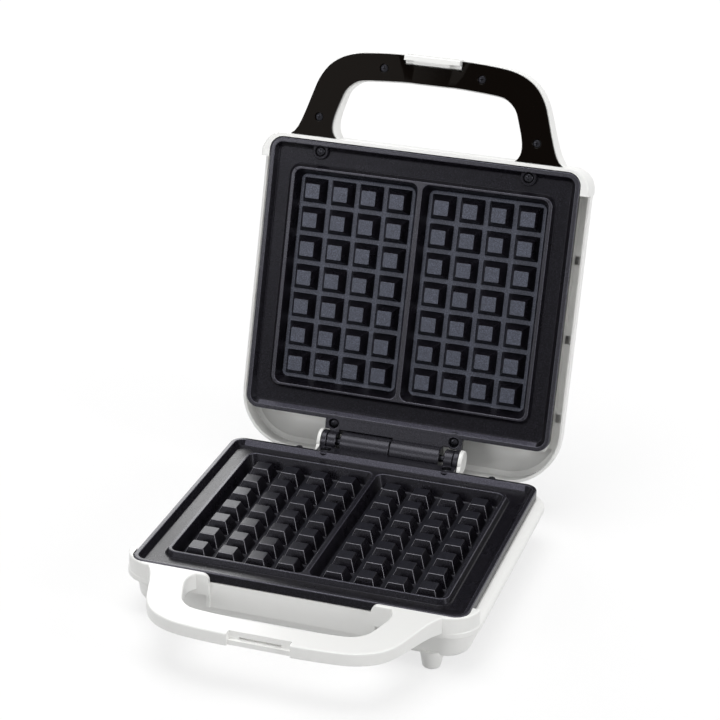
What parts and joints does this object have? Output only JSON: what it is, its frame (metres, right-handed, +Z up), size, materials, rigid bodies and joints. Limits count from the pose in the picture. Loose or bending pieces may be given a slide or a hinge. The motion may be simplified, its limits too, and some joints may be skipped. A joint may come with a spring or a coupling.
{
  "type": "belgian waffle maker",
  "caption": "Belgian waffle maker: deep-studded cast non-stick plates in a white base and hinged domed lid, arched front handles with a pivoting latch, shown with its lid leaning open.",
  "frame": {"origin": "bottom centre of the whole part's bounding box with the lid open, on the table under the feet", "axes": "+X to the right as seen from the handle side, +Y to the back where the hinge is, +Z up"},
  "size_m": [0.256, 0.396, 0.3386],
  "materials": {
    "white_plastic": "smooth white moulded plastic with a soft gloss",
    "coated_casting": "cast aluminium with a fine-grained black non-stick coating",
    "dark_steel": "blackened steel",
    "bright_steel": "bright zinc-plated or polished steel",
    "ceramic": "off-white heat-proof ceramic",
    "brown_resin": "brown heat-proof resin",
    "grey_rubber": "matt grey rubber",
    "black_gloss": "glossy brown-black plastic",
    "amber_lens": "clear amber plastic",
    "green_lens": "clear green plastic"
  },
  "bodies": {
    "base": {"base_housing": "white_plastic", "bottom_pan": "white_plastic", "lower_plate": "coated_casting", "lower_heater": "dark_steel", "lower_reflector": "bright_steel", "lower_thermostat": "ceramic", "thermal_fuse": "ceramic", "terminal_block": "brown_resin", "cord_gland": "grey_rubber", "hinge_pin": "dark_steel", "foot_pad_left_front": "grey_rubber", "foot_pad_left_rear": "grey_rubber", "foot_pad_right_front": "grey_rubber", "foot_pad_right_rear": "grey_rubber", "pan_screw_left_front": "bright_steel", "pan_screw_left_rear": "bright_steel", "pan_screw_right_front": "bright_steel", "pan_screw_right_rear": "bright_steel", "lower_plate_screw_left": "dark_steel", "lower_plate_screw_right": "dark_steel"},
    "lid": {"lid_housing": "white_plastic", "upper_plate": "coated_casting", "upper_heater": "dark_steel", "upper_reflector": "bright_steel", "upper_thermostat": "ceramic", "handle_liner": "black_gloss", "latch_pin": "bright_steel", "upper_plate_screw_rear_right": "dark_steel", "upper_plate_screw_rear_left": "dark_steel", "upper_plate_screw_front_right": "dark_steel", "upper_plate_screw_front_left": "dark_steel", "liner_screw_right_root": "dark_steel", "liner_screw_right_bar": "dark_steel", "liner_screw_left_root": "dark_steel", "liner_screw_left_bar": "dark_steel", "power_lamp_lens": "amber_lens", "ready_lamp_lens": "green_lens", "lamp_board": "brown_resin"},
    "latch": {"latch": "white_plastic"}
  },
  "joints": [
    {"name": "lid_hinge", "type": "hinge", "parent": "base", "child": "lid", "pos_m": [0, 0.10322, 0.0468], "axis": [1, 0, 0], "range_deg": [0, 105]},
    {"name": "latch_pivot", "type": "hinge", "parent": "lid", "child": "latch", "pos_m": [0, 0.18843, 0.33196], "axis": [-1, 0, 0], "range_deg": [0, 20]}
  ]
}
